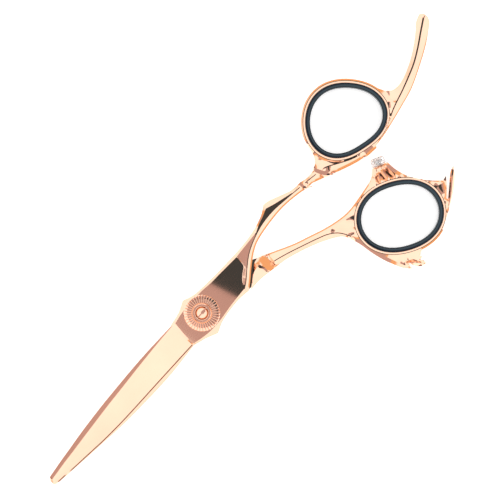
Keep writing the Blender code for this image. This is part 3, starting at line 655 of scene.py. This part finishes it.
def thumb_plate():
    """Back half's pivot plate and the tail that runs under the front half to the collar."""
    outline = closed_outline(
        ((8.3, 4.1, 0.3), (4.4, 5.5, 0.25), (1.2, 6.9, 0.2)),
        ((1.2, 6.9, 0.2), (-2.0, 5.7, 0.3), (-6.6, 5.1, 0.3), (-12, 5.3, 0.3), (-17, 5.6, 0.3),
         (-21.9, 5.6, 0.3)),
        ((-21.9, 5.6, 0.3), (-22.8, 3.9, 0.3), (-22.6, 2.2, 0.3)),
        ((-22.6, 2.2, 0.3), (-20.4, 0.8, 0.3), (-17.4, -0.9, 0.3), (-13.5, -2.9, 0.3), (-9.0, -3.9, 0.3),
         (-2.2, -4.85, 0.25), (1.0, -6.1, 0.2)),
        ((1.0, -6.1, 0.2), (4.2, -4.8, 0.25), (8.3, -4.1, 0.3)),
        ((8.3, -4.1, 0.3), (8.3, 4.1, 0.3)),
    )
    ridge = np.vstack([flowing(line)[:-1] for line in (
        ((7.6, 3.5, 1), (4.4, 4.6, 1), (1.2, 5.1, 1), (-2.0, 4.9, 1), (-6.6, 4.3, 1), (-12, 4.4, 1),
         (-20.8, 4.7, 1)),
        ((-20.8, 4.7, 1), (-21.6, 3.2, 1)),
        ((-21.6, 3.2, 1), (-17.0, 0.1, 1), (-13.2, -2.0, 1), (-9.0, -3.1, 1), (-2.2, -4.0, 1), (1.0, -4.2, 1),
         (7.6, -3.5, 1)),
        ((7.6, -3.5, 1), (7.6, 3.5, 1)),
    )])
    ridge = np.vstack([ridge, ridge[:1]])

    edge_level = 2.6

    def levels(x, y, height):
        return np.full(len(x), THUMB_INNER), edge_level - (edge_level - THUMB_BACK) * height

    return sculpted("thumb_plate", outline, [ridge], levels)


def turned(name, profile, steps, place=None, wave=None, sharp=32):
    """Body turned about Z from (radius, z) points. wave(turn, r, z) may shift a point."""
    rows = []
    for k in range(steps):
        turn = 2 * math.pi * k / steps
        row = []
        for r, z in profile:
            r2, z2 = wave(turn, r, z) if wave else (r, z)
            point = Vector((r2 * math.cos(turn), r2 * math.sin(turn), z2))
            row.append(tuple(place @ point if place else point))
        rows.append(row)
    count = len(profile)
    verts = [p for row in rows for p in row]
    made = new_mesh(name, verts, grid_faces(steps, count, True), sharp)
    work = bmesh.new()
    work.from_mesh(made.data)
    bmesh.ops.remove_doubles(work, verts=work.verts, dist=1e-8)
    bmesh.ops.dissolve_degenerate(work, edges=work.edges, dist=1e-9)
    work.to_mesh(made.data)
    work.free()
    return made


def disc(name, radius, low, high, steps=64):
    return turned(name, ((0.0, low), (0.0, high), (radius, high), (radius, low)), steps)


def ring_rib(name, ring):
    """Inner rib of a metal ring, which the insert's groove clips over."""
    return swept(name, ring, ((0.4, 1.0), (-0.7, 1.0), (-0.7, -1.0), (0.4, -1.0)), 0.5)


# Holes at the pivot
WASHER_POCKET_R, BORE_R, BEARING_POCKET_R = 3.4, 2.45, 3.75
NECK_HOLE_HALF = 1.872
UNDER, OVER = 2.0, 9.0    # levels well below and above the front plate


def front_half():
    half = finger_handle()
    combine(half, [blade("front_blade", FINGER_EDGE, False), ring_rib("front_rib", FINGER_RING)], "UNION")
    combine(half, [
        disc("bore", BORE_R, UNDER, OVER), disc("bearing_pocket", BEARING_POCKET_R, 4.75, OVER),
        disc("washer_pocket", WASHER_POCKET_R, UNDER, 3.66),
    ], "DIFFERENCE")
    return half


def back_half():
    half = thumb_handle()
    combine(half, [
        thumb_plate(), blade("back_blade", THUMB_EDGE, True), ring_rib("back_rib", THUMB_RING),
    ], "UNION")
    neck = block("neck_hole", NECK_HOLE_HALF, NECK_HOLE_HALF, 0.0, 6.0)
    stud_hole = turned("stud_hole", ((0.0, -2.9), (0.0, 2.0), (0.8, 2.0), (0.8, -2.9)), 32, bumper_place())
    washer_pocket = disc("washer_pocket", WASHER_POCKET_R, 3.14, 6.0)
    combine(half, [neck, washer_pocket, stud_hole], "DIFFERENCE")
    return half


def bumper_place():
    """Placement whose Z axis points out of the boss, through the bumper."""
    out = Vector((*BUMPER_OUT, 0.0)).normalized()
    return Matrix.Translation((*BUMPER_AT, RING_MID)) @ out.to_track_quat("Z", "Y").to_matrix().to_4x4()


# ---------------------------------------------------------------- small pieces

def rubber_insert(name, ring):
    """Rubber ring: two lips over the metal rib, a soft rounded bore and a faint mould line."""
    half = (INSERT_HIGH - INSERT_LOW) / 2
    rib_out, rib_half = -0.82, 1.17
    upper = [(-0.02, rib_half), (-0.01, 2.3), (-0.05, half - 0.06), (-0.1, half), (-0.6, half),
             (-0.66, half - 0.02), (-1.0, half - 0.18), (-1.24, half - 0.33), (-1.36, half - 0.62),
             (-1.41, 0.12), (-1.38, 0.0)]
    lower = [(out, -up) for out, up in reversed(upper[:-1])]
    profile = upper + lower + [(rib_out, -rib_half), (rib_out, rib_half)]
    return swept(name, ring, profile, 0.35, sharp=50)


def dial():
    """Ridged face and rim, a raised collar, and the spring's pocket behind."""
    ridges, steps_each = 36, 12
    face, pocket_r, pocket_top = 7.86, 3.9, 7.3
    profile = ((1.98, DIAL_HIGH), (1.96, 7.5), (1.81, 7.42), (1.81, pocket_top), (pocket_r, pocket_top),
               (pocket_r, DIAL_LOW), (4.85, DIAL_LOW), (5.0, DIAL_LOW + 0.15), (5.03, 7.0), (5.02, 7.55),
               (4.9, 7.8), (4.6, face), (4.0, face), (3.4, face), (2.85, face), (2.72, 7.8), (2.64, face),
               (2.58, 8.1), (2.45, DIAL_HIGH), (2.2, DIAL_HIGH))
    face_inner, face_outer, face_low, face_deep = 2.8, 4.95, 7.5, 0.028
    rim_inner, rim_low, rim_deep = 4.88, 6.6, 0.12

    def wave(turn, r, z):
        """Cuts the face's grooves, narrow and deeper outwards, and the wider notches of the rim."""
        into = abs((ridges * turn / math.pi) % 2 - 1)
        notch = max(0.0, 1 - into / 0.5)
        groove = 0.25 * max(0.0, 1 - into * 3) + 0.75 * max(0.0, 1 - into * 6)
        if face_inner < r < face_outer and z > face_low:
            z -= face_deep * r * groove
        if r > rim_inner and z > rim_low:
            r -= rim_deep * notch
        return r, z

    return turned("dial_ridged", profile, ridges * steps_each, wave=wave, sharp=14)


def slotted_bolt():
    """Turned bolt: low wide head with a soft rim, square neck, threaded end with a domed, slotted top."""
    shank_r, root_r, pitch, top = 1.75, 1.62, 0.5, BOLT_TOP
    head_r, head_top, neck_half = 3.9, 0.42, 1.8
    thread_low, thread_stop, dome = 6.9, top - 1.15, 0.16
    slot_half, slot_deep = 0.17, 0.62
    profile = [(0.0, 0.0), (3.55, 0.0), (3.8, 0.06), (head_r, 0.2), (head_r, head_top), (shank_r, head_top),
               (shank_r, 4.0)]
    z = thread_low
    profile.append((shank_r, z))
    while z < thread_stop:
        profile += [(root_r, z + pitch * 0.25), (shank_r, z + pitch * 0.5)]
        z += pitch * 0.5
    profile += [(shank_r, top - 0.92), (1.6, top - 0.84), (1.57, top - 0.46)]
    profile += [(r, top - dome * r * r) for r in (1.5, 1.3, 1.1, 0.9, 0.7, 0.5, 0.3, 0.0)]
    bolt = turned("bolt_slotted", profile, 96)
    combine(bolt, [block("neck", neck_half, neck_half, 0.32, 3.04)], "UNION")
    return combine(bolt, [block("slot", 3, slot_half, top - slot_deep, top + 1)], "DIFFERENCE")


def silicone_cap():
    """Soft round cap, hollow inside where it grips the stud's head."""
    grip_r, grip_low, head_top = 1.28, 0.82, 1.65
    profile = ((0.78, 0.1), (1.6, 0.1), (1.85, 0.16), (1.98, 0.35), (2.0, 0.9), (1.99, 1.5), (1.9, 1.85),
               (1.7, 2.1), (1.4, 2.24), (1.0, 2.3), (0.0, 2.3), (0.0, head_top), (grip_r, head_top),
               (grip_r, grip_low), (0.78, grip_low))
    return turned("bumper_cap_soft", profile, 48, bumper_place())


# ---------------------------------------------------------------- materials

def shader_of(material):
    material.use_nodes = True
    return material.node_tree.nodes["Principled BSDF"]


def noise_node(tree, scale, detail):
    noise = tree.nodes.new("ShaderNodeTexNoise")
    noise.inputs["Scale"].default_value = scale
    noise.inputs["Detail"].default_value = detail
    return noise


def tone_node(tree, colour, start, end, darker, lighter):
    """Ramp between a darker and a lighter tone of the colour."""
    tone = tree.nodes.new("ShaderNodeValToRGB")
    tone.color_ramp.elements[0].position = start
    tone.color_ramp.elements[1].position = end
    tone.color_ramp.elements[0].color = (*[c * darker for c in colour], 1)
    tone.color_ramp.elements[1].color = (*[min(1.0, c * lighter) for c in colour], 1)
    return tone


def polish_node(tree, smoothest, roughest):
    polish = tree.nodes.new("ShaderNodeMapRange")
    polish.inputs["To Min"].default_value = smoothest
    polish.inputs["To Max"].default_value = roughest
    return polish


def bump_node(tree, strength, depth):
    """Relief; its depth is in metres."""
    bump = tree.nodes.new("ShaderNodeBump")
    bump.inputs["Strength"].default_value = strength
    bump.inputs["Distance"].default_value = depth
    return bump


def rose_gold(name, colour, rough, scratch, scratch_scale):
    """Polished rose gold: faint tone drift, a fine brushed grain and sparse hairline scratches."""
    material = bpy.data.materials.new(name)
    shader = shader_of(material)
    tree = material.node_tree
    shader.inputs["Metallic"].default_value = 1.0
    place = tree.nodes.new("ShaderNodeTexCoord")
    drift = noise_node(tree, 90.0, 3.0)
    tone = tone_node(tree, colour, 0.3, 0.7, 0.96, 1.02)
    stretch = tree.nodes.new("ShaderNodeMapping")
    stretch.inputs["Scale"].default_value = scratch_scale
    grain = noise_node(tree, 1.0, 5.0)
    polish = polish_node(tree, rough * 0.75, rough * 1.3)
    bump = bump_node(tree, scratch, 0.000002)
    link = tree.links.new
    link(place.outputs["Object"], drift.inputs["Vector"])
    link(drift.outputs["Fac"], tone.inputs["Fac"])
    link(tone.outputs["Color"], shader.inputs["Base Color"])
    link(place.outputs["Object"], stretch.inputs["Vector"])
    link(stretch.outputs["Vector"], grain.inputs["Vector"])
    link(grain.outputs["Fac"], polish.inputs["Value"])
    link(polish.outputs["Result"], shader.inputs["Roughness"])
    link(grain.outputs["Fac"], bump.inputs["Height"])
    link(bump.outputs["Normal"], shader.inputs["Normal"])
    return material


def grained(name, colour, rough, metallic, scale, depth, spread=0.12):
    """Moulded or ground surface: noise in tone, roughness and relief."""
    material = bpy.data.materials.new(name)
    shader = shader_of(material)
    tree = material.node_tree
    shader.inputs["Metallic"].default_value = metallic
    place = tree.nodes.new("ShaderNodeTexCoord")
    noise = noise_node(tree, scale, 6.0)
    tone = tone_node(tree, colour, 0.35, 0.65, 1 - spread, 1 + spread)
    polish = polish_node(tree, rough * 0.85, min(1.0, rough * 1.15))
    bump = bump_node(tree, 0.5, depth)
    link = tree.links.new
    link(place.outputs["Object"], noise.inputs["Vector"])
    link(noise.outputs["Fac"], tone.inputs["Fac"])
    link(tone.outputs["Color"], shader.inputs["Base Color"])
    link(noise.outputs["Fac"], polish.inputs["Value"])
    link(polish.outputs["Result"], shader.inputs["Roughness"])
    link(noise.outputs["Fac"], bump.inputs["Height"])
    link(bump.outputs["Normal"], shader.inputs["Normal"])
    return material


def keep_creases(piece, angle=50.0):
    """Smooth shading between the marked creases and any sharper corner that a boolean left."""
    work = bmesh.new()
    work.from_mesh(piece.data)
    for edge in work.edges:
        if len(edge.link_faces) == 2 and edge.calc_face_angle(0.0) > math.radians(angle):
            edge.smooth = False
    for face in work.faces:
        face.smooth = True
    work.to_mesh(piece.data)
    work.free()


def finish(piece, material):
    """Gives the piece this material alone."""
    piece.data.materials.clear()
    piece.data.materials.append(material)


# ---------------------------------------------------------------- stage

def card(name, corners, height, colour):
    """Flat card at a height in metres, unseen by the camera, that the level faces reflect."""
    verts = [(x * MM, y * MM, height) for x, y in corners]
    mesh = bpy.data.meshes.new(name)
    mesh.from_pydata(verts, [], [tuple(range(len(verts)))])
    made = bpy.data.objects.new(name, mesh)
    bpy.context.scene.collection.objects.link(made)
    paint = bpy.data.materials.new(name)
    shader = shader_of(paint)
    shader.inputs["Base Color"].default_value = (0, 0, 0, 1)
    shader.inputs["Specular IOR Level"].default_value = 0.0
    shader.inputs["Emission Color"].default_value = (*colour, 1)
    shader.inputs["Emission Strength"].default_value = 1.0
    finish(made, paint)
    made.visible_camera = False
    made.visible_shadow = False
    made.visible_diffuse = False


def studio():
    """White table, two cards and a dome with dark, dusty, warm and bright bands, and a camera above."""
    bpy.ops.mesh.primitive_plane_add(size=6.0, location=(0, 0, -0.0001))
    floor = bpy.context.object
    floor.name = "floor"
    paint = bpy.data.materials.new("floor_white")
    shader = shader_of(paint)
    shader.inputs["Base Color"].default_value = (0.93, 0.93, 0.93, 1)
    shader.inputs["Roughness"].default_value = 0.9
    shader.inputs["Specular IOR Level"].default_value = 0.0
    shader.inputs["Emission Color"].default_value = (1, 1, 1, 1)
    shader.inputs["Emission Strength"].default_value = 0.45
    finish(floor, paint)
    card("ceiling_rose", ((-700, -220), (40, -220), (40, 260), (-700, 260)), 0.86, (0.60, 0.46, 0.47))
    card("overhead_dark", ((-600, -48), (17.3, -48), (-15, 84), (-600, 84)), 0.84, (0.06, 0.075, 0.085))

    # The dome's colours, by height from 0 at the horizon to 1 overhead
    brightest = 2.0
    stops = (
        (0.0, (0.24, 0.16, 0.14)), (0.05, (0.24, 0.16, 0.14)), (0.09, (0.62, 0.46, 0.46)),
        (0.20, (0.66, 0.50, 0.50)), (0.26, (0.98, 0.60, 0.32)), (0.40, (0.98, 0.60, 0.32)),
        (0.50, (1.30, 1.30, 1.30)), (0.9, (1.42, 1.42, 1.42)), (0.98, (1.34, 1.34, 1.34)))
    world = bpy.data.worlds.new("studio")
    bpy.context.scene.world = world
    world.use_nodes = True
    tree = world.node_tree
    back = tree.nodes["Background"]
    place = tree.nodes.new("ShaderNodeTexCoord")
    split = tree.nodes.new("ShaderNodeSeparateXYZ")
    ramp = tree.nodes.new("ShaderNodeValToRGB")
    ramp.color_ramp.elements.remove(ramp.color_ramp.elements[0])
    ramp.color_ramp.elements[0].position = stops[-1][0]
    for position, _ in stops[:-1]:
        ramp.color_ramp.elements.new(position)
    for element, (position, colour) in zip(ramp.color_ramp.elements, stops):
        element.position = position
        element.color = (*[value / brightest for value in colour], 1)
    plain = tree.nodes.new("ShaderNodeBackground")
    plain.inputs["Color"].default_value = (1, 1, 1, 1)
    plain.inputs["Strength"].default_value = 0.95
    rays = tree.nodes.new("ShaderNodeLightPath")
    mix = tree.nodes.new("ShaderNodeMixShader")
    back.inputs["Strength"].default_value = brightest
    link = tree.links.new
    link(place.outputs["Generated"], split.inputs["Vector"])
    link(split.outputs["Z"], ramp.inputs["Fac"])
    link(ramp.outputs["Color"], back.inputs["Color"])
    link(rays.outputs["Is Camera Ray"], mix.inputs["Fac"])
    link(back.outputs["Background"], mix.inputs[1])
    link(plain.outputs["Background"], mix.inputs[2])
    link(mix.outputs["Shader"], tree.nodes["World Output"].inputs["Surface"])

    scene = bpy.context.scene
    scene.view_settings.view_transform = "Standard"
    # Straight down on the shears; height, width in view, level of the faces and middle in metres
    height, seen_width, face_level = 0.8, 0.1375, 0.005
    middle = (-0.0217, -0.0016)
    view = bpy.data.cameras.new("camera")
    view.sensor_width = 36.0
    view.lens = view.sensor_width * height / seen_width
    camera = bpy.data.objects.new("camera", view)
    right = Vector((-0.6633, 0.7484, 0.0))
    up = Vector((-0.7484, -0.6633, 0.0))
    turn = Matrix((right, up, (0, 0, 1))).transposed().to_4x4()
    camera.matrix_world = Matrix.Translation((*middle, height + face_level)) @ turn
    scene.collection.objects.link(camera)
    scene.camera = camera


def build():
    """Sets the stage, then gives every piece its body and material, and hides the CAD node that it stands in
    for.
    """
    studio()
    rose = rose_gold("rose_gold_polished", (0.95, 0.62, 0.45), 0.028, 0.04, (60, 2600, 2600))
    hardware = rose_gold("rose_gold_turned", (0.93, 0.60, 0.44), 0.06, 0.08, (900, 900, 900))
    rubber = grained("insert_rubber_black", (0.007, 0.011, 0.017), 0.12, 0.0, 2500, 0.000002)
    shader_of(rubber).inputs["IOR"].default_value = 1.6
    shader_of(rubber).inputs["Specular Tint"].default_value = (0.62, 0.86, 1.0, 1)
    steel = grained("plain_steel_ground", (0.62, 0.61, 0.60), 0.25, 1.0, 3000, 0.000005, 0.05)
    nylon = grained("nylon_moulded", (0.86, 0.85, 0.80), 0.5, 0.0, 1800, 0.00001, 0.03)
    brass = grained("cage_brass_stamped", (0.80, 0.62, 0.30), 0.3, 1.0, 2500, 0.000005, 0.05)
    silicone = grained("bumper_silicone_clear", (0.93, 0.94, 0.95), 0.2, 0.0, 900, 0.00001, 0.02)
    clear = shader_of(silicone)
    clear.inputs["Transmission Weight"].default_value = 0.85
    clear.inputs["IOR"].default_value = 1.41

    made = (
        (front_half(), "finger_side", "finger_half", "rose_gold", rose),
        (back_half(), "thumb_side", "thumb_half", "rose_gold", rose),
        (rubber_insert("finger_insert_soft", FINGER_RING), "finger_side", "finger_ring_insert",
         "insert_rubber", rubber),
        (rubber_insert("thumb_insert_soft", THUMB_RING), "thumb_side", "thumb_ring_insert",
         "insert_rubber", rubber),
        (dial(), "dial", "tension_dial", "rose_gold_hardware", hardware),
        (slotted_bolt(), "thumb_side", "pivot_bolt", "rose_gold_hardware", hardware),
        (silicone_cap(), "thumb_side", "bumper_cap", "bumper_silicone", silicone),
    )
    for piece, body, node, slot, material in made:
        finish(piece, material)
        keep_creases(piece)
        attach(piece, body)
        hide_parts(node)
    finishes = {"plain_steel": steel, "nylon": nylon, "cage_brass": brass}
    for part in frame["record"]["subparts"]:
        if part["material_slot"] in finishes:
            finish(frame["nodes"][part["node"]], finishes[part["material_slot"]])


build()
